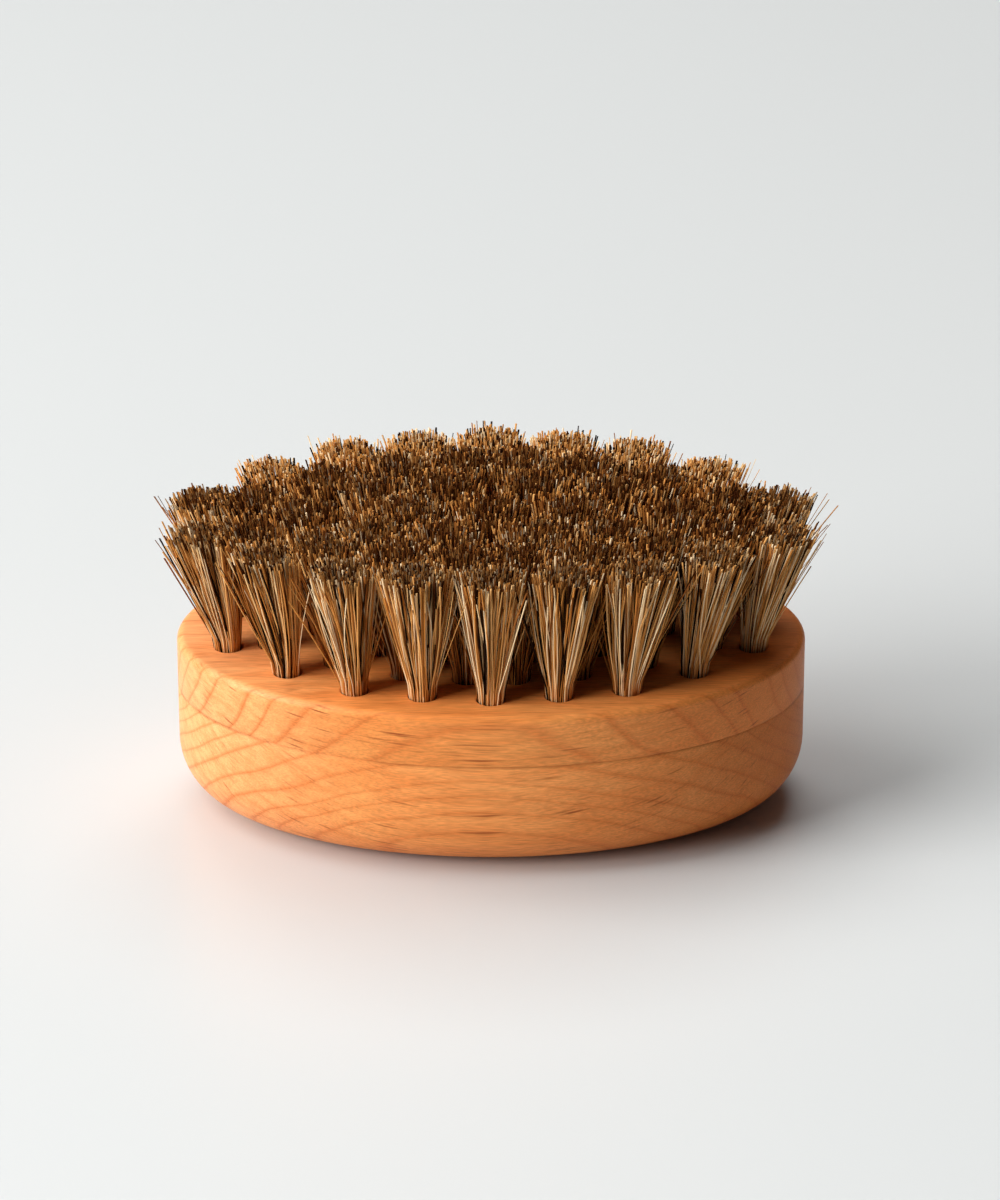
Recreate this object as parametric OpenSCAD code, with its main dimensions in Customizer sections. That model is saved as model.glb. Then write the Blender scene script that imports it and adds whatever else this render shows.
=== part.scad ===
// Oval hand-drawn beard brush: a bristle block and a rounded back cover, glued together, with
// folded tufts of horsehair pulled into stepped holes by wires that run behind the block.
// Millimetres, +Z up out of the bristle face, origin under the middle of the back's flat.

/* [Body] */
// Length of the oval body
body_l = 80; // [79:0.5:90]
// Width of the oval body
body_w = 50; // [49:0.5:60]
// Thickness of the bristle block
block_t = 6.8; // [6.4:0.2:9]
// Thickness of the back cover
cover_t = 16; // [12:0.5:20]
// Radius of the rounding between the side and the flat of the back
back_r = 8.5; // [3:0.5:11]
// Radius of the softened edge around the bristle face
face_r = 1; // [0.4:0.1:2]
// Points around the oval outline
outline_points = 96; // [48:4:120]

/* [Tuft holes] */
// Diameter of a tuft hole
hole_d = 3.6; // [3:0.1:3.8]
// Depth of a tuft hole below the bristle face
hole_depth = 5; // [4:0.1:5]
// Diameter of the narrow hole that the wire comes up through
wire_hole_d = 1.8; // [1.6:0.1:2.2]

/* [Bristles] */
// Height of the trimmed tips above the bristle face
tuft_h = 17; // [12:0.5:24]
// Diameter of a tuft at its trimmed tips
tip_d = 5.8; // [4:0.1:5.8]
// Outward lean of a tuft along the body, as a share of its distance from the middle
lean_x = 0.1; // [0.08:0.01:0.14]
// Outward lean of a tuft across the body, as a share of its distance from the middle
lean_y = 0.05; // [0.04:0.01:0.12]
// Height of the tight neck of a tuft above the face
neck_h = 2; // [1:0.5:4]
// Gap between a tuft and the wall of its hole
tuft_gap = 0.03; // [0.02:0.01:0.1]

/* [Wire] */
// Diameter of the drawing wire
wire_d = 0.35; // [0.3:0.05:0.4]
// Half the width of a loop of wire around the fold of a tuft
loop_half = 0.55; // [0.45:0.05:0.6]
// Height of a loop above the bottom of its tuft hole
loop_rise = 0.9; // [0.7:0.1:1.4]
// Width of the grooves behind the block that the wire lies in
groove_w = 1.2; // [1:0.1:1.8]
// Depth of those grooves
groove_depth = 0.6; // [0.5:0.1:0.9]
// Gap between the wire and the bristles around it
wire_gap = 0.08; // [0.05:0.01:0.1]

/* [Hidden] */
face_z = cover_t + block_t;
tip_z = face_z + tuft_h;
hole_z = face_z - hole_depth;
loop_z = hole_z + loop_rise;
run_z = cover_t + groove_depth / 2;
tuft_d = hole_d - 2 * tuft_gap;
tip_t = 0.4;        // thickness of the flat-trimmed end of a tuft
edge_steps = 5;     // facets around the softened edge
back_steps = 9;     // facets around the back's rounding
wire_sides = 8;
round_sides = 48;
tuft_sides = 24;
cut = 0.1;          // overshoot of a cutting tool past a face

// Places of the tufts in one quarter of the face, which the other quarters mirror
outer_quarter = [[0, 19.6], [8.5, 18.6], [17, 17], [25.5, 12], [33.2, 4.8]];
second_quarter = [[3.1, 13.8], [10.8, 12.6], [19.2, 9.4], [27.6, 4.3]];
third_quarter = [[5, 7.3], [13.6, 5.8], [21.5, 0]];
middle_row = [[-9.6, 0], [0, 0], [9.6, 0]];

// Mirrors one quarter's places into a ring, in order around the oval
function right_side(q) = concat(q, [for (i = [len(q) - 1:-1:0]) if (q[i].y > 0) [q[i].x, -q[i].y]]);
function left_side(s) = [for (i = [len(s) - 1:-1:0]) if (s[i].x > 0) [-s[i].x, s[i].y]];
function ring(q) = concat(right_side(q), left_side(right_side(q)));

outer = ring(outer_quarter);
second = ring(second_quarter);
third = ring(third_quarter);
RINGS = [outer, second, third, middle_row];
RING_NAMES = ["outer", "second", "third", "middle"];

function tuft_name(r, i) = str(RING_NAMES[r], "_tuft_", i + 1);
function wire_name(r) = str(RING_NAMES[r], "_wire");

function unit(v) = v / norm(v);

// A point of the outline at angle t, moved inwards along its normal
function oval_point(t, inset) =
    let (n = unit([cos(t) / body_l, sin(t) / body_w]))
    [body_l / 2 * cos(t) - inset * n.x, body_w / 2 * sin(t) - inset * n.y];

// A closed solid through outlines stacked at [height, inset] levels, lowest first
module oval_solid(levels) {
    n = outline_points;
    last = len(levels) - 1;
    polyhedron(
        points = [for (v = levels) for (k = [0:n - 1])
            let (p = oval_point(360 * k / n, v[1])) [p.x, p.y, v[0]]],
        faces = concat(
            [[for (k = [0:n - 1]) k]],
            [for (j = [0:last - 1]) for (k = [0:n - 1]) let (m = (k + 1) % n)
                [j * n + m, j * n + k, (j + 1) * n + k]],
            [for (j = [0:last - 1]) for (k = [0:n - 1]) let (m = (k + 1) % n)
                [j * n + m, (j + 1) * n + k, (j + 1) * n + m]],
            [[for (k = [n - 1:-1:0]) last * n + k]]));
}

// Direction in which the wire passes under tuft i of a row of places
function run_dir(row, i) =
    unit(row[min(i + 1, len(row) - 1)] - row[max(i - 1, 0)]);

// The wire's corners: up one side of each tuft's fold, over it, and down the other side
function wire_path(row) = [for (i = [0:len(row) - 1]) let (p = row[i], u = loop_half * run_dir(row, i))
    each [[p.x - u.x, p.y - u.y, run_z], [p.x - u.x, p.y - u.y, loop_z],
          [p.x + u.x, p.y + u.y, loop_z], [p.x + u.x, p.y + u.y, run_z]]];

// Carries a ring of points along t to the plane through q with normal n
function carry(points, t, q, n) = [for (p = points) p + t * ((q - p) * n) / (t * n)];

// The rings of points around a path that starts straight up, mitred at each corner
function tube_rings(path, d, sides) =
    let (last = len(path) - 1,
         t = [for (i = [0:last - 1]) unit(path[i + 1] - path[i])],
         n = [for (i = [1:last]) unit(t[i - 1] + t[min(i, last - 1)])],
         start = [for (k = [0:sides - 1]) path[0] + d / 2 * [cos(360 * k / sides), sin(360 * k / sides), 0]])
    [for (i = 0, r = start; i <= last;
          r = i < last ? carry(r, t[i], path[i + 1], n[i]) : r, i = i + 1) r];

module tube(path, d, sides) {
    rings = tube_rings(path, d, sides);
    last = len(rings) - 1;
    polyhedron(
        points = [for (r = rings) each r],
        faces = concat(
            [[for (k = [0:sides - 1]) k]],
            [for (j = [0:last - 1]) for (k = [0:sides - 1]) let (m = (k + 1) % sides)
                [j * sides + m, j * sides + k, (j + 1) * sides + k, (j + 1) * sides + m]],
            [[for (k = [sides - 1:-1:0]) last * sides + k]]));
}

// Stepped hole: wide for the folded tuft, narrow behind it for the wire
module tuft_hole(p) translate([p.x, p.y, 0]) {
    translate([0, 0, hole_z]) cylinder(d = hole_d, h = hole_depth + cut, $fn = round_sides);
    translate([0, 0, cover_t - cut]) cylinder(d = wire_hole_d, h = hole_z - cover_t + 2 * cut, $fn = round_sides);
}

// Groove between two neighbouring holes, cut into the block's hidden side
module wire_groove(p, q) {
    run = q - p;
    translate([p.x, p.y, cover_t - cut])
        rotate(atan2(run.y, run.x))
            translate([0, -groove_w / 2, 0]) cube([norm(run), groove_w, groove_depth + cut]);
}

// Upper piece: its face carries the tufts, its hidden side the wire
module bristle_block() color("#d9924f") difference() {
    oval_solid(concat(
        [[cover_t, 0]],
        [for (s = [0:edge_steps]) let (a = 90 * s / edge_steps)
            [face_z - face_r * (1 - sin(a)), face_r * (1 - cos(a))]]));
    for (row = RINGS) {
        for (p = row) tuft_hole(p);
        for (i = [1:len(row) - 1]) wire_groove(row[i - 1], row[i]);
    }
}

// Lower piece: covers the wire, and its rounded back fits the palm
module back_cover() color("#dc9656") oval_solid(concat(
    [for (s = [0:back_steps]) let (a = 90 * s / back_steps)
        [back_r * (1 - cos(a)), back_r * (1 - sin(a))]],
    [[cover_t, 0]]));

// One wire, threaded from tuft to tuft along its row
module drawing_wire(row) color("#b9b2a4") tube(wire_path(row), wire_d, wire_sides);

// The way through a tuft's fold that its loop of wire takes
module loop_passage(p, u) {
    d = wire_d + 2 * wire_gap;
    translate([p.x, p.y, 0]) rotate(atan2(u.y, u.x)) {
        for (side = [-1, 1])
            translate([side * loop_half, 0, hole_z]) cylinder(d = d, h = loop_rise, $fn = round_sides);
        translate([-loop_half, 0, loop_z]) rotate([0, 90, 0])
            cylinder(d = d, h = 2 * loop_half, $fn = round_sides);
        for (side = [-1, 1]) translate([side * loop_half, 0, loop_z]) sphere(d = d, $fn = round_sides);
    }
}

// Folded tuft: held in its hole, then fanning outwards to flat-trimmed tips
module tuft(row, i) {
    p = row[i];
    color("#8f6a40") difference() {
        union() {
            translate([p.x, p.y, hole_z + tuft_gap])
                cylinder(d = tuft_d, h = hole_depth - tuft_gap + neck_h, $fn = round_sides);
            hull() {
                translate([p.x, p.y, face_z + tuft_gap]) cylinder(d = tuft_d, h = neck_h, $fn = tuft_sides);
                translate([p.x * (1 + lean_x), p.y * (1 + lean_y), tip_z - tip_t])
                    cylinder(d = tip_d, h = tip_t, $fn = tuft_sides);
            }
        }
        loop_passage(p, run_dir(row, i));
    }
}

bristle_block();
back_cover();
for (r = [0:len(RINGS) - 1]) {
    drawing_wire(RINGS[r]);
    for (i = [0:len(RINGS[r]) - 1])
        tuft(RINGS[r], i);
}
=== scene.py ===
import math

import bpy
import numpy as np
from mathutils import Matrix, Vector


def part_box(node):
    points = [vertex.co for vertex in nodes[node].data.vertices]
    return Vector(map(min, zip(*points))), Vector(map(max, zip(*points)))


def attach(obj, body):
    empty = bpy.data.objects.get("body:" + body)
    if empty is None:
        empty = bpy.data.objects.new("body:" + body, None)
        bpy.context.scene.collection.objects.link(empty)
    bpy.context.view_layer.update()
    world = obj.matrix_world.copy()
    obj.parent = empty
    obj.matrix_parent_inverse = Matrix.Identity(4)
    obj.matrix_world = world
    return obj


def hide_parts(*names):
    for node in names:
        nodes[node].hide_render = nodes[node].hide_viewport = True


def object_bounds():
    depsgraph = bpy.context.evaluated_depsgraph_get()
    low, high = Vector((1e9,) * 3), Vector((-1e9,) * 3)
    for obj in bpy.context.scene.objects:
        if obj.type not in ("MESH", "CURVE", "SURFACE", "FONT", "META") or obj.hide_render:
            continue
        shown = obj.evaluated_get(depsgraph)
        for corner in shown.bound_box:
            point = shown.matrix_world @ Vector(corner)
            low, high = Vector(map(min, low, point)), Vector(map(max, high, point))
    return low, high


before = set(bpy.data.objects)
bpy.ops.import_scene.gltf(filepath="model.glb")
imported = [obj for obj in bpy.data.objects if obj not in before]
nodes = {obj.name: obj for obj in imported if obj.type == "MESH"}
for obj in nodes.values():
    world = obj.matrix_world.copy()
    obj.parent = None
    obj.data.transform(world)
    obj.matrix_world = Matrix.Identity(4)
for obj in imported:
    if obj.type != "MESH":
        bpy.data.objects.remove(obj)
cad_low, cad_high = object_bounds()
MM = 0.001

# ---------------------------------------------------------------------------------------------
# Camera: a long lens, looking down on the brush from in front, so that the far side of the oval
# is hardly smaller than the near side.
# ---------------------------------------------------------------------------------------------
camera_distance = 736 * MM
camera_elevation = math.radians(25.9)
camera_lens = 173.8  # mm, on a 36 mm sensor
aim = Vector((1.14 * MM, 0, 27 * MM))

camera_data = bpy.data.cameras.new("camera")
camera_data.lens = camera_lens
camera_data.sensor_width = 36
camera_data.clip_start = 10 * MM
camera_data.clip_end = 20
camera = bpy.data.objects.new("camera", camera_data)
bpy.context.scene.collection.objects.link(camera)
towards_camera = Vector((0, -math.cos(camera_elevation), math.sin(camera_elevation)))
camera.location = aim + camera_distance * towards_camera
camera.rotation_euler = (math.pi / 2 - camera_elevation, 0, 0)
bpy.context.scene.camera = camera

# ---------------------------------------------------------------------------------------------
# Bristle block: the upper half of the body, in steamed and oiled beech, turned to an oval and
# sanded to a softened edge. It is bored from the face for the tufts, and more narrowly right
# through for the wires. Growth rings stand steeply in it, because it was sawn near the quarter.
# ---------------------------------------------------------------------------------------------
outline_corners = 256
face_edge_radius = 1.0 * MM
joint_edge = 0.06 * MM  # the hardly broken edges that meet at the glue line
face_ring = 0.25 * MM
hole_radius = 1.8 * MM
hole_depth = 5.0 * MM
hole_chamfer = 0.12 * MM
wire_hole_radius = 0.9 * MM
hole_corners = 40
smooth_below = math.radians(32)

block_low, block_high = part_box("bristle_block")
face_z = block_high.z
tuft_names = sorted((n for n in nodes if "_tuft_" in n),
                    key=lambda n: (n.split("_")[0], int(n.split("_")[2])))


def slice_middle(name, top):
    """The middle of a CAD node's top or bottom end."""
    corners = np.array([v.co for v in nodes[name].data.vertices])
    edge = corners[:, 2].max() if top else corners[:, 2].min()
    end = corners[abs(corners[:, 2] - edge) < 0.05 * MM]
    return (end.min(0) + end.max(0)) / 2


def deselect():
    bpy.ops.object.select_all(action="DESELECT")


def oval_disc(name, low, high):
    """A flat-ended oval solid that fills a box, active and selected, with its place in its mesh."""
    deselect()
    bpy.ops.mesh.primitive_cylinder_add(
        vertices=outline_corners, radius=0.5, depth=1, location=(low + high) / 2, scale=high - low)
    bpy.ops.object.transform_apply(location=True, rotation=True, scale=True)
    piece = bpy.context.object
    piece.name = name
    piece.data.name = name
    return piece


def round_rim(piece, height, radius, segments):
    """Rounds the edges that lie at one height."""
    mesh = piece.data
    for part in (mesh.polygons, mesh.vertices):
        part.foreach_set("select", [False] * len(part))
    for edge in mesh.edges:
        edge.select = all(abs(mesh.vertices[i].co.z - height) < 0.01 * MM for i in edge.vertices)
    bpy.ops.object.mode_set(mode="EDIT")
    bpy.ops.mesh.select_mode(type="EDGE")
    bpy.ops.mesh.bevel(
        offset=radius, segments=segments, profile=0.5, affect="EDGES", clamp_overlap=False)
    bpy.ops.object.mode_set(mode="OBJECT")


def inset_end(piece, upwards, thickness):
    """Insets the flat end that faces up or down, so that its middle shades dead flat."""
    mesh = piece.data
    for part in (mesh.edges, mesh.vertices):
        part.foreach_set("select", [False] * len(part))
    for face in mesh.polygons:
        face.select = len(face.vertices) == outline_corners and (face.normal.z > 0) == upwards
    bpy.ops.object.mode_set(mode="EDIT")
    bpy.ops.mesh.select_mode(type="FACE")
    bpy.ops.mesh.inset(thickness=thickness)
    bpy.ops.object.mode_set(mode="OBJECT")


block = oval_disc("bristle_block_beech", block_low, block_high)
round_rim(block, block_high.z, face_edge_radius, 8)
round_rim(block, block_low.z, joint_edge, 2)
inset_end(block, True, face_ring)
inset_end(block, False, face_ring)

# The stepped drill: wide for a tuft, narrow below, with a slight countersink at the face
deselect()
wide_z = face_z - hole_depth
bpy.ops.mesh.primitive_cylinder_add(
    vertices=hole_corners, radius=hole_radius, depth=hole_depth - hole_chamfer,
    location=(0, 0, wide_z + (hole_depth - hole_chamfer) / 2))
bpy.ops.object.transform_apply(location=True, rotation=True, scale=True)
drill = bpy.context.object


def pull_end(piece, upwards, steps):
    """Extrudes a cylinder's end face through steps of (rise, growth)."""
    for part in (piece.data.edges, piece.data.vertices):
        part.foreach_set("select", [False] * len(part))
    for face in piece.data.polygons:
        face.select = len(face.vertices) > 4 and (face.normal.z > 0) == upwards
    bpy.ops.object.mode_set(mode="EDIT")
    bpy.ops.mesh.select_mode(type="FACE")
    for rise, growth in steps:
        bpy.ops.mesh.extrude_region_move(TRANSFORM_OT_translate={"value": (0, 0, rise)})
        bpy.ops.transform.resize(value=(growth, growth, 1))
    bpy.ops.object.mode_set(mode="OBJECT")


pull_end(drill, True, [(hole_chamfer, 1 + hole_chamfer / hole_radius), (1 * MM, 1)])
pull_end(drill, False, [(0, wire_hole_radius / hole_radius), (block_low.z - wide_z - 1 * MM, 1)])

drills = []
for name in tuft_names:
    copy = drill.copy()
    copy.data = drill.data.copy()
    root = slice_middle(name, top=False)
    copy.location = (root[0], root[1], 0)
    bpy.context.scene.collection.objects.link(copy)
    drills.append(copy)
bpy.data.objects.remove(drill)
deselect()
for copy in drills:
    copy.select_set(True)
bpy.context.view_layer.objects.active = drills[0]
bpy.ops.object.join()
tool = bpy.context.object
bpy.ops.object.transform_apply(location=True, rotation=True, scale=True)

deselect()
block.select_set(True)
bpy.context.view_layer.objects.active = block
boring = block.modifiers.new("boring", "BOOLEAN")
boring.operation = "DIFFERENCE"
boring.solver = "EXACT"
boring.object = tool
bpy.ops.object.modifier_apply(modifier="boring")
bpy.data.objects.remove(tool)
bpy.ops.object.shade_smooth_by_angle(angle=smooth_below)


def linear(hex_text):
    """A linear RGBA colour from an sRGB hex value."""
    values = [int(hex_text[i:i + 2], 16) / 255 for i in (1, 3, 5)]
    return [v / 12.92 if v <= 0.04045 else ((v + 0.055) / 1.055) ** 2.4 for v in values] + [1]


def add(material, kind, inputs=None, **settings):
    """Adds a node: inputs are values or other nodes' outputs, by input name or number."""
    made = material.node_tree.nodes.new(kind)
    for key, value in settings.items():
        setattr(made, key, value)
    for key, value in (inputs or {}).items():
        if isinstance(value, bpy.types.NodeSocket):
            material.node_tree.links.new(value, made.inputs[key])
        else:
            made.inputs[key].default_value = value
    return made


def new_material(name):
    """An empty material with a Principled shader, and that shader's node."""
    material = bpy.data.materials.new(name)
    material.use_nodes = True
    return material, material.node_tree.nodes["Principled BSDF"]


def set_ramp(ramp_node, stops):
    """Fills a colour ramp with (place, hex colour) stops."""
    ramp = ramp_node.color_ramp
    while len(ramp.elements) < len(stops):
        ramp.elements.new(1)
    for element, (place, colour) in zip(ramp.elements, stops):
        element.position = place
        element.color = linear(colour)


# The figure of the wood: lengths along the fibres, round the rings and outwards, in millimetres.
# A real fibre is finer than the eye sees here, so it is drawn coarse enough to show.
broad_ray_size = (11, 0.4, 2.6)
fine_ray_size = (4, 0.3, 2.2)
fibre_size = (2.4, 0.17, 0.17)
band_size = (16, 0.8, 1.6)
patch_size = (34, 7, 9)
wander_frequency = (0.035, 0.09, 0.09)  # per millimetre
wander_width = 2.2
uneven_years = 2.6  # how many rings early or late a ring may come
glue_width = 0.45
# Painted light and shade: the -X (left) end of the wood is painted paler and the +X (right) end
# darker
painted_light_from, painted_light_to = -16, -40
painted_shade_from, painted_shade_to = 10, 40
painted_light_colour = "#fbb47c"
painted_shade_colour = "#cf6820"
late_wood_colour = "#d06a2c"
fine_ray_colour = "#b8602a"
broad_ray_colour = "#a04c1f"
glue_colour = "#9a5424"
beech_ior = 1.47


def oiled_beech(name, pith, ring_width, mean_radius, pale, warm, deep):
    """Steamed beech, sanded fine and oiled: a warm, close-grained surface with a soft sheen.

    Growth rings go round a pith that runs along X. Medullary rays point at it: these thin upright
    plates show as short dark dashes where the wood is cut along the rings, and as fine lines on
    the end grain. All sizes are in millimetres."""
    material, shader = new_material(name)
    coordinates = add(material, "ShaderNodeTexCoord")
    place = add(material, "ShaderNodeVectorMath",
                {0: coordinates.outputs["Object"], "Scale": 1 / MM}, operation="SCALE").outputs[0]
    # The fibres wander by a millimetre or so along the body
    slow = add(material, "ShaderNodeVectorMath", {0: place, 1: wander_frequency},
               operation="MULTIPLY").outputs[0]
    wander = add(material, "ShaderNodeTexNoise",
                 {"Vector": slow, "Scale": 1, "Detail": 2}).outputs["Color"]
    centred = add(material, "ShaderNodeVectorMath", {0: wander, 1: (0.5, 0.5, 0.5)},
                  operation="SUBTRACT").outputs[0]
    shift = add(material, "ShaderNodeVectorMath", {0: centred, 1: (0, wander_width, wander_width)},
                operation="MULTIPLY").outputs[0]
    moved = add(material, "ShaderNodeVectorMath", {0: place, 1: shift}, operation="ADD").outputs[0]
    from_pith = add(material, "ShaderNodeVectorMath", {0: moved, 1: (0, pith[0], pith[1])},
                    operation="SUBTRACT").outputs[0]
    across = add(material, "ShaderNodeVectorMath", {0: from_pith, 1: (0, 1, 1)},
                 operation="MULTIPLY").outputs[0]
    radius = add(material, "ShaderNodeVectorMath", {0: across}, operation="LENGTH").outputs["Value"]
    split = add(material, "ShaderNodeSeparateXYZ", {0: from_pith})
    along = split.outputs["X"]
    angle = add(material, "ShaderNodeMath", {0: split.outputs["Z"], 1: split.outputs["Y"]},
                operation="ARCTAN2").outputs[0]
    # How squarely the surface faces the pith: 1 where it is cut along the rings, 0 on end grain
    outwards = add(material, "ShaderNodeVectorMath", {0: across}, operation="NORMALIZE").outputs[0]
    along_rings = add(material, "ShaderNodeVectorMath",
                      {0: coordinates.outputs["Normal"], 1: outwards},
                      operation="DOT_PRODUCT").outputs["Value"]
    facing = add(material, "ShaderNodeMath", {0: along_rings}, operation="ABSOLUTE").outputs[0]

    # Growth rings: pale early wood that ends in a thin darker line of late wood
    years = add(material, "ShaderNodeTexNoise", {"W": radius, "Scale": 0.11, "Detail": 1},
                noise_dimensions="1D").outputs["Fac"]
    uneven = add(material, "ShaderNodeMath", {0: years, 1: uneven_years},
                 operation="MULTIPLY").outputs[0]
    rings = add(material, "ShaderNodeMath", {0: radius, 1: 1 / ring_width, 2: uneven},
                operation="MULTIPLY_ADD").outputs[0]
    season = add(material, "ShaderNodeMath", {0: rings}, operation="FRACT").outputs[0]
    late = add(material, "ShaderNodeValToRGB", {0: season})
    set_ramp(late, [(0, "#8c8c8c"), (0.12, "#101010"), (0.5, "#1c1c1c"), (0.78, "#6a6a6a"),
                    (0.93, "#ffffff"), (1, "#8c8c8c")])

    def streaks(size, kind="ShaderNodeTexVoronoi", **inputs):
        """A texture drawn out to these lengths along the fibres, round the rings and outwards."""
        lengths = (along, 1 / size[0]), (angle, mean_radius / size[1]), (radius, 1 / size[2])
        scaled = [add(material, "ShaderNodeMath", {0: value, 1: factor},
                      operation="MULTIPLY").outputs[0] for value, factor in lengths]
        vector = add(material, "ShaderNodeCombineXYZ", dict(enumerate(scaled))).outputs[0]
        return add(material, kind, {"Vector": vector, "Scale": 1, **inputs})

    def spots(texture, full, gone):
        """1 inside a cell's spot, fading to 0 at its edge; many cells have a faint spot or none."""
        inside = add(material, "ShaderNodeMapRange",
                     {"Value": texture.outputs["Distance"], "From Min": full, "From Max": gone,
                      "To Min": 1, "To Max": 0}).outputs[0]
        lot = add(material, "ShaderNodeSeparateXYZ", {0: texture.outputs["Color"]}).outputs["X"]
        chance = add(material, "ShaderNodeMapRange", {"Value": lot, "From Min": 0.42}).outputs[0]
        return add(material, "ShaderNodeMath", {0: inside, 1: chance},
                   operation="MULTIPLY").outputs[0]

    broad_rays = spots(streaks(broad_ray_size), 0.06, 0.36)
    fine_rays = spots(streaks(fine_ray_size), 0.06, 0.4)
    fibre = streaks(fibre_size, "ShaderNodeTexNoise", Detail=3).outputs["Fac"]
    bands = streaks(band_size, "ShaderNodeTexNoise", Detail=2).outputs["Fac"]
    patches = streaks(patch_size, "ShaderNodeTexNoise", Detail=2).outputs["Fac"]

    def blend(factor, strength, first, second):
        """Mixes two colours by a mask times a strength."""
        share = add(material, "ShaderNodeMath", {0: factor, 1: strength}, operation="MULTIPLY",
                    use_clamp=True).outputs[0]
        return add(material, "ShaderNodeMix", {0: share, 6: first, 7: second},
                   data_type="RGBA").outputs[2]

    # The ground colour: soft patches, painted light that makes the -X (left) end paler and painted
    # shade that makes the +X (right) end darker, and darker bands along the grain
    spread = add(material, "ShaderNodeMapRange",
                 {"Value": patches, "From Min": 0.3, "From Max": 0.7}).outputs[0]
    streaked = add(material, "ShaderNodeMapRange",
                   {"Value": bands, "From Min": 0.35, "From Max": 0.7}).outputs[0]
    painted_light_share = add(material, "ShaderNodeMapRange", {"Value": along, "From Min": painted_light_from,
                  "From Max": painted_light_to}).outputs[0]
    painted_shade_share = add(material, "ShaderNodeMapRange", {"Value": along, "From Min": painted_shade_from,
                    "From Max": painted_shade_to}).outputs[0]
    mottled = blend(spread, 1, linear(pale), linear(warm))
    paler = blend(painted_light_share, 0.75, mottled, linear(painted_light_colour))
    toned = blend(painted_shade_share, 0.65, paler, linear(painted_shade_colour))
    ground = blend(streaked, 0.42, toned, linear(deep))

    # Rings show most on the end grain, and rays where the wood is cut along the rings
    lengthwise = add(material, "ShaderNodeSeparateXYZ",
                     {0: coordinates.outputs["Normal"]}).outputs["X"]
    end_grain = add(material, "ShaderNodeMath", {0: lengthwise}, operation="ABSOLUTE").outputs[0]
    on_end = add(material, "ShaderNodeMapRange", {"Value": end_grain, "From Max": 0.6,
                 "To Min": 0.18, "To Max": 0.55}).outputs[0]
    ring_strength = add(material, "ShaderNodeMath", {0: facing, 1: 0.25, 2: on_end},
                        operation="MULTIPLY_ADD").outputs[0]
    ray_strength = add(material, "ShaderNodeMapRange",
                       {"Value": facing, "From Min": 0.3, "From Max": 0.85, "To Min": 0.35,
                        "To Max": 1.3}).outputs[0]
    ringed = blend(late.outputs["Color"], ring_strength, ground, linear(late_wood_colour))
    dashed = blend(fine_rays, 0.6, ringed, linear(fine_ray_colour))
    rayed = blend(broad_rays, ray_strength, dashed, linear(broad_ray_colour))

    # A darker band along the glue line, stronger in some places than in others
    height = add(material, "ShaderNodeSeparateXYZ", {0: place}).outputs["Z"]
    above_glue = add(material, "ShaderNodeMath", {0: height, 1: block_low.z / MM},
                     operation="SUBTRACT").outputs[0]
    from_glue = add(material, "ShaderNodeMath", {0: above_glue}, operation="ABSOLUTE").outputs[0]
    seam = add(material, "ShaderNodeMapRange", {"Value": from_glue, "From Max": glue_width,
               "To Min": 1, "To Max": 0}, interpolation_type="SMOOTHSTEP").outputs[0]
    seam_strength = add(material, "ShaderNodeMapRange",
                        {"Value": patches, "From Min": 0.42, "From Max": 0.56, "To Min": 0.5,
                         "To Max": 0}).outputs[0]
    joined = blend(seam, seam_strength, rayed, linear(glue_colour))

    # The fibres lighten and darken the colour, and break up the sheen
    fine = {"Value": fibre, "From Min": 0.3, "From Max": 0.7}
    grain = add(material, "ShaderNodeMapRange", {**fine, "To Min": 0.83, "To Max": 1.16}).outputs[0]
    wood = add(material, "ShaderNodeVectorMath", {0: joined, "Scale": grain},
               operation="SCALE").outputs[0]
    gloss = add(material, "ShaderNodeMapRange", {**fine, "To Min": 0.5, "To Max": 0.4}).outputs[0]
    relief = add(material, "ShaderNodeMath", {0: broad_rays, 1: -0.3, 2: fibre},
                 operation="MULTIPLY_ADD").outputs[0]
    bump = add(material, "ShaderNodeBump",
               {"Height": relief, "Strength": 0.25, "Distance": 0.05 * MM}).outputs[0]
    links = material.node_tree.links
    links.new(wood, shader.inputs["Base Color"])
    links.new(gloss, shader.inputs["Roughness"])
    links.new(bump, shader.inputs["Normal"])
    shader.inputs["IOR"].default_value = beech_ior
    shader.inputs["Specular IOR Level"].default_value = 0.18
    shader.inputs["Coat Weight"].default_value = 0.03
    shader.inputs["Coat Roughness"].default_value = 0.3
    return material


block.data.materials.clear()
block.data.materials.append(
    oiled_beech("oiled_beech_quarter_sawn", pith=(14, 30), ring_width=2.6, mean_radius=33,
                pale="#f8a55b", warm="#ef9148", deep="#d77532"))
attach(block, "root")
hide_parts("bristle_block")

# ---------------------------------------------------------------------------------------------
# Back cover: the lower half of the body, in the same oiled beech, glued over the wires and turned
# to the block's oval. Its rounded back fits the palm. It is flat sawn from another board, so its
# rings don't meet the block's.
# ---------------------------------------------------------------------------------------------
back_radius = 8.5 * MM
cover_low, cover_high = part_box("back_cover")

cover = oval_disc("back_cover_beech", cover_low, cover_high)
round_rim(cover, cover_low.z, back_radius, 16)
round_rim(cover, cover_high.z, joint_edge, 2)
inset_end(cover, True, face_ring)
inset_end(cover, False, face_ring)
bpy.ops.object.shade_smooth_by_angle(angle=smooth_below)
cover.data.materials.clear()
cover.data.materials.append(
    oiled_beech("oiled_beech_flat_sawn", pith=(16, 45), ring_width=1.9, mean_radius=50,
                pale="#f7a35c", warm="#ee9049", deep="#d77533"))
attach(cover, "root")
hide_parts("back_cover")

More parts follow.
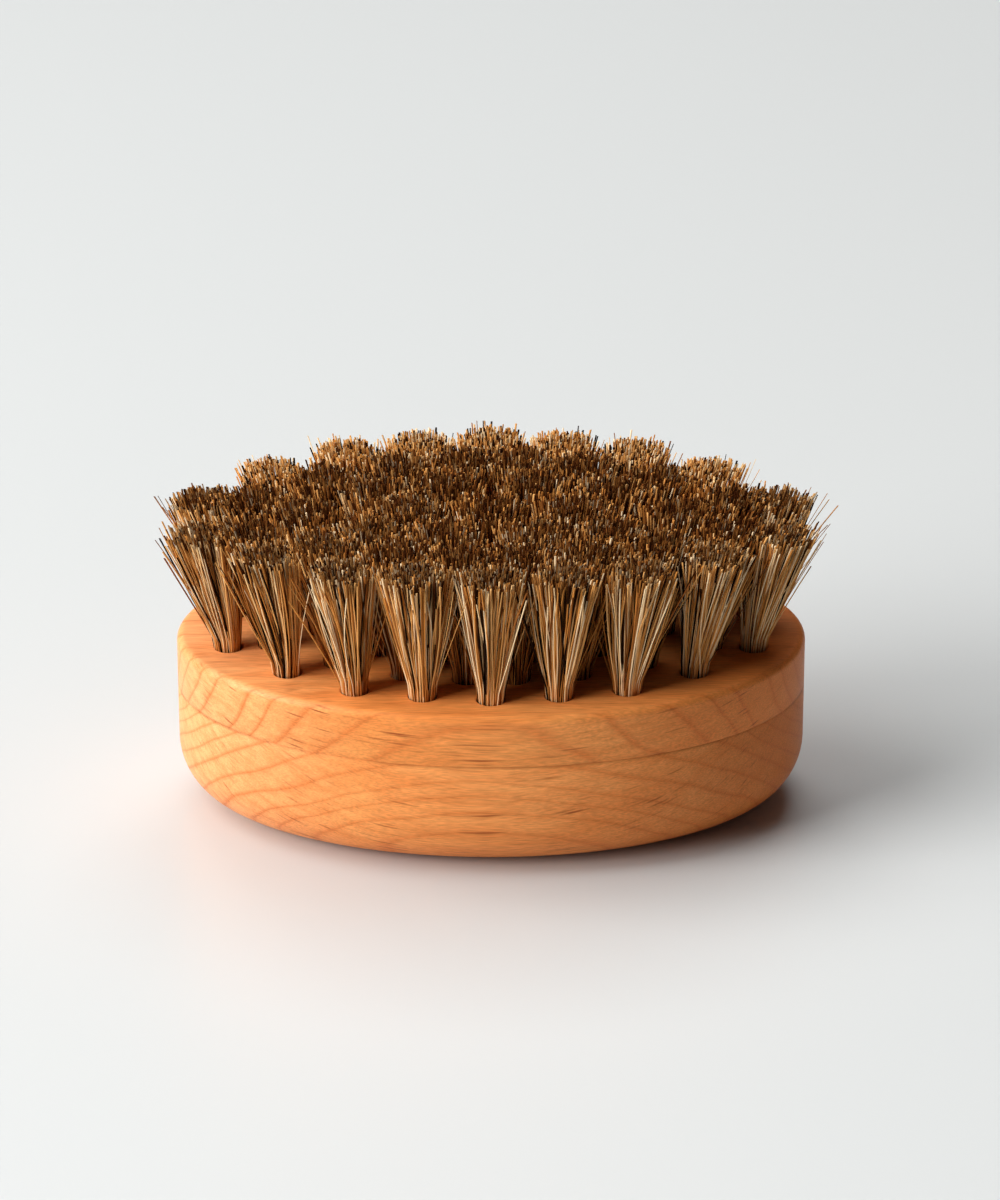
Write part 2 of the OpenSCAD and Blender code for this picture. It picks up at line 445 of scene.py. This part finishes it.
# ---------------------------------------------------------------------------------------------
# Drawing wires: thin bright steel, hidden between the block and the cover. Each is threaded from
# hole to hole, and loops over the fold of every tuft in its row. Drawing leaves fine marks on it,
# which break up its shine.
# ---------------------------------------------------------------------------------------------
marks_per_metre = 9000
steel, steel_shader = new_material("drawn_steel_wire")
steel_place = add(steel, "ShaderNodeTexCoord").outputs["Object"]
die_marks = add(steel, "ShaderNodeTexNoise", {"Vector": steel_place, "Scale": marks_per_metre,
                "Detail": 2}).outputs["Fac"]
steel_gloss = add(steel, "ShaderNodeMapRange", {"Value": die_marks, "To Min": 0.22,
                  "To Max": 0.42}).outputs[0]
steel.node_tree.links.new(steel_gloss, steel_shader.inputs["Roughness"])
steel_shader.inputs["Metallic"].default_value = 1
steel_shader.inputs["Base Color"].default_value = linear("#bdbab3")
for name in nodes:
    if name.endswith("_wire"):
        nodes[name].data.materials.clear()
        nodes[name].data.materials.append(steel)

# ---------------------------------------------------------------------------------------------
# Tufts: bundles of mixed horsehair, straw to nearly black, folded double and pulled tight into
# their holes. Above the face they fan out in a curve, lean away from the middle, and are trimmed.
# ---------------------------------------------------------------------------------------------
hairs_per_tuft = 560
hair_radius = 0.07 * MM
tip_swelling = 0.3  # thicker at the tip than a real hair, so that the trimmed ends show
hair_sides = 5
hair_joints = 4
root_depth = 2.0 * MM
bundle_radius = hole_radius - 0.3 * MM
fan_radius = 4.0 * MM
inner_fan_radius = 4.5 * MM
fan_curve = 1.1
hair_waviness = 0.26 * MM
trim_error = 0.25 * MM
dome_drop = 0.35 * MM
crown_rise = 0.6 * MM
crown_drop = 1.6 * MM
clumps_per_tuft = 22
clump_pull = 0.15
golden_turn = math.pi * (3 - math.sqrt(5))
# Painted shade: the colour and strength of the darkening towards the hair tips
tip_shade_colour, tip_shade_strength = "#341403", 0.86
# Shares of the hairs that stray, spring out, lie across the others or were cut short
stray_share, stray_reach = 0.08, (1.1, 1.5)
wild_share, wild_reach = 0.04, (1.35, 1.85)
crossing_share, crossing_turn = 0.1, 0.8
short_share, short_share_at_edge, cut_short = 0.04, 0.16, (0.3 * MM, 3.5 * MM)
# Tones run from 0, black, to 1, cream
# Painted light and shade: edge tufts lighter, inner tufts darker, and the hairs at a tuft's rim
# lighter still
lit_edge_tone, shaded_inner_tone, tone_spread, painted_rim_light = 0.58, 0.34, 0.26, 0.2
black_share, cream_share = 0.13, 0.04
back_row = 10 * MM

# One straight hair of unit height and radius, cut square at its tip
deselect()
bpy.ops.mesh.primitive_cylinder_add(vertices=hair_sides, radius=1, depth=1, location=(0, 0, 0.5))
bpy.ops.object.transform_apply(location=True, rotation=True, scale=True)
hair = bpy.context.object
for part in (hair.data.vertices, hair.data.polygons):
    part.foreach_set("select", [False] * len(part))
for edge in hair.data.edges:
    ends = [hair.data.vertices[i].co.z for i in edge.vertices]
    edge.select = abs(ends[0] - ends[1]) > 0.5
bpy.ops.object.mode_set(mode="EDIT")
bpy.ops.mesh.select_mode(type="EDGE")
bpy.ops.mesh.subdivide(number_cuts=hair_joints)
bpy.ops.object.mode_set(mode="OBJECT")
hair_points = np.array([v.co for v in hair.data.vertices])
hair_faces = [list(p.vertices) for p in hair.data.polygons]
bpy.data.objects.remove(hair)

# Washed, undyed horsehair: every hair has one tone of its own, from black through brown to cream,
# with little shine. U of the map is that tone, and V is how near the trimmed end is, which sets the
# painted shade at the tips.
horsehair, hair_shader = new_material("mixed_horsehair")
hair_map = add(horsehair, "ShaderNodeUVMap", uv_map="hair").outputs["UV"]
hair_split = add(horsehair, "ShaderNodeSeparateXYZ", {0: hair_map})
hair_tone = add(horsehair, "ShaderNodeValToRGB", {0: hair_split.outputs["X"]})
set_ramp(hair_tone, [(0, "#0c0705"), (0.1, "#3a1b09"), (0.25, "#874c20"), (0.5, "#cc863f"),
                     (0.75, "#e8ad67"), (0.92, "#efc68e"), (1, "#fae0b8")])
# Painted shade: each hair darkens towards its trimmed end, for the shade among the tips
painted_tip_shade = add(horsehair, "ShaderNodeMapRange", {"Value": hair_split.outputs["Y"],
               "From Min": 0.8, "From Max": 1, "To Max": tip_shade_strength}).outputs[0]
hair_colour = add(horsehair, "ShaderNodeMix", {0: painted_tip_shade, 6: hair_tone.outputs["Color"],
                  7: linear(tip_shade_colour)}, data_type="RGBA").outputs[2]
horsehair.node_tree.links.new(hair_colour, hair_shader.inputs["Base Color"])
hair_shader.inputs["Roughness"].default_value = 0.5
hair_shader.inputs["Specular IOR Level"].default_value = 0.05
hair_shader.inputs["Specular Tint"].default_value = linear("#e0a768")


def build_tuft(name, seed):
    """A tuft of bent hairs that stands in one CAD tuft's place."""
    draw = np.random.default_rng(seed)
    foot = slice_middle(name, top=False)
    head = slice_middle(name, top=True)
    at_edge = name.startswith("outer")
    n = hairs_per_tuft
    # Even packing across the hole, slightly disturbed; share is 0 in its middle, 1 at its rim
    turn = golden_turn * np.arange(n) + draw.uniform(0, 2 * math.pi)
    share = np.sqrt((np.arange(n) + 0.5) / n)
    root = np.stack([share * np.cos(turn), share * np.sin(turn)], 1)
    root += draw.normal(0, 0.03, (n, 2))
    fan = root + draw.normal(0, 0.16, (n, 2))
    # Hairs that cling together end nearer each other
    clumps = draw.uniform(-1, 1, (clumps_per_tuft, 2))
    nearest = ((fan[:, None] - clumps[None]) ** 2).sum(2).argmin(1)
    fan += clump_pull * (clumps[nearest] - fan)
    stray = draw.random(n) < stray_share
    fan[stray] *= draw.uniform(*stray_reach, (stray.sum(), 1))
    wild = (draw.random(n) < wild_share) & (share > 0.75)
    fan[wild] *= draw.uniform(*wild_reach, (wild.sum(), 1))
    # A few lie across the others
    across = np.where(draw.random(n) < crossing_share, draw.normal(0, crossing_turn, n), 0)
    fan = np.stack([fan[:, 0] * np.cos(across) - fan[:, 1] * np.sin(across),
                    fan[:, 0] * np.sin(across) + fan[:, 1] * np.cos(across)], 1)
    lean = (head - foot)[:2]
    reach = lean + fan * (fan_radius if at_edge else inner_fan_radius) - root * bundle_radius
    length = head[2] - face_z + draw.normal(0, trim_error, n)
    short = draw.random(n) < short_share + short_share_at_edge * share ** 6
    length[short] -= draw.uniform(*cut_short, short.sum())
    # Each tuft is slightly domed, and the whole brush slightly crowned
    crown = crown_rise - crown_drop * (head[0] / cad_high.x) ** 2
    length += crown - dome_drop * (fan ** 2).sum(1)
    # Hairs at the rim of a tuft are a little thicker, and the wild ones thinner
    thick = hair_radius * draw.uniform(0.7, 1.25, n) * np.where(wild, 0.7, 1 + 0.25 * share ** 8)
    wave = draw.normal(0, hair_waviness, (n, 2))
    # Painted light and shade: edge tufts get a lighter tone than inner ones, and the hairs at a
    # tuft's rim are lightened
    tone_of_tuft = draw.normal(lit_edge_tone if at_edge else shaded_inner_tone, 0.04)
    tone = draw.normal(0, tone_spread, n) + painted_rim_light * share ** 8 + tone_of_tuft
    tone = np.clip(tone, 0.1, 0.97)
    black = draw.random(n) < black_share
    tone[black] = 0.02
    thick[black] *= 1.15
    pale = draw.random(n) < cream_share
    tone[pale] = 0.99
    thick[pale] *= 0.85

    rise = hair_points[:, 2][None, :] * (length + root_depth)[:, None] - root_depth
    free = np.clip(rise / length[:, None], 0, None)
    bend = free ** fan_curve
    swell = 1 + tip_swelling * free
    points = np.empty((n, len(hair_points), 3))
    for axis in (0, 1):
        points[:, :, axis] = (
            foot[axis] + root[:, axis, None] * bundle_radius + reach[:, axis, None] * bend
            + wave[:, axis, None] * np.sin(math.pi * free)
            + hair_points[None, :, axis] * thick[:, None] * swell)
    points[:, :, 2] = face_z + rise
    count = len(hair_points)
    faces = [[i + count * k for i in f] for k in range(n) for f in hair_faces]
    mesh = bpy.data.meshes.new(name + "_hair")
    mesh.from_pydata(points.reshape(-1, 3).tolist(), [], faces)
    uv = mesh.uv_layers.new(name="hair")
    corner = np.empty(len(mesh.loops), int)
    mesh.loops.foreach_get("vertex_index", corner)
    # Painted light: some hairs at random, those at a tuft's rim and those of edge tufts in the back
    # row get less or none of the painted tip shade, so they stay bright nearer to the end
    tip_shade_scale = np.where(draw.random(n) < 0.08, 0.8, 1 - 0.14 * share ** 6)
    if at_edge and foot[1] > back_row:
        tip_shade_scale *= 0.9
    tone_and_end = np.stack(
        [np.repeat(tone, count), (np.clip(free, 0, 1) * tip_shade_scale[:, None]).ravel()], 1)
    uv.data.foreach_set("uv", tone_and_end[corner].ravel())
    mesh.polygons.foreach_set("use_smooth", [len(f) == 4 for f in faces])
    mesh.materials.append(horsehair)
    tuft = bpy.data.objects.new(name + "_hair", mesh)
    bpy.context.scene.collection.objects.link(tuft)
    return tuft


for seed, name in enumerate(tuft_names):
    tuft = build_tuft(name, seed)
    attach(tuft, "root")
    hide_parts(name)

# ---------------------------------------------------------------------------------------------
# Studio: a plain pale table with a faint sheen, two large soft lights from the left, a weaker one
# above and behind, and a dim surround.
# ---------------------------------------------------------------------------------------------
deselect()
bpy.ops.mesh.primitive_plane_add(size=6, location=(0, 0, cad_low.z))
table = bpy.context.object
table.name = "table"
table_paint, table_shader = new_material("pale_table")
table_shader.inputs["Base Color"].default_value = linear("#d5d7d6")
table_shader.inputs["Roughness"].default_value = 0.35
table.data.materials.append(table_paint)

light_distance = 1.4


def soft_light(name, azimuth, elevation, size, power):
    """A square soft box that faces the brush, at an azimuth in degrees from front to left."""
    turn, rise = math.radians(azimuth), math.radians(elevation)
    place = [light_distance * v for v in (
        -math.sin(turn) * math.cos(rise), -math.cos(turn) * math.cos(rise), math.sin(rise))]
    data = bpy.data.lights.new(name, "AREA")
    data.size = size
    data.energy = power
    lamp = bpy.data.objects.new(name, data)
    lamp.location = place
    lamp.rotation_euler = (-Vector(place)).to_track_quat("-Z", "Y").to_euler()
    bpy.context.scene.collection.objects.link(lamp)


soft_light("window", azimuth=66, elevation=24, size=0.8, power=21.8)
soft_light("high_window", azimuth=88, elevation=54, size=0.93, power=13)
soft_light("overhead", azimuth=180, elevation=64, size=0.93, power=9.6)

surround = bpy.data.worlds.new("surround")
surround.use_nodes = True
glow = surround.node_tree.nodes["Background"].inputs
glow["Color"].default_value = linear("#f2f4f6")
glow["Strength"].default_value = 0.04
bpy.context.scene.world = surround
bpy.context.scene.view_settings.view_transform = "Standard"
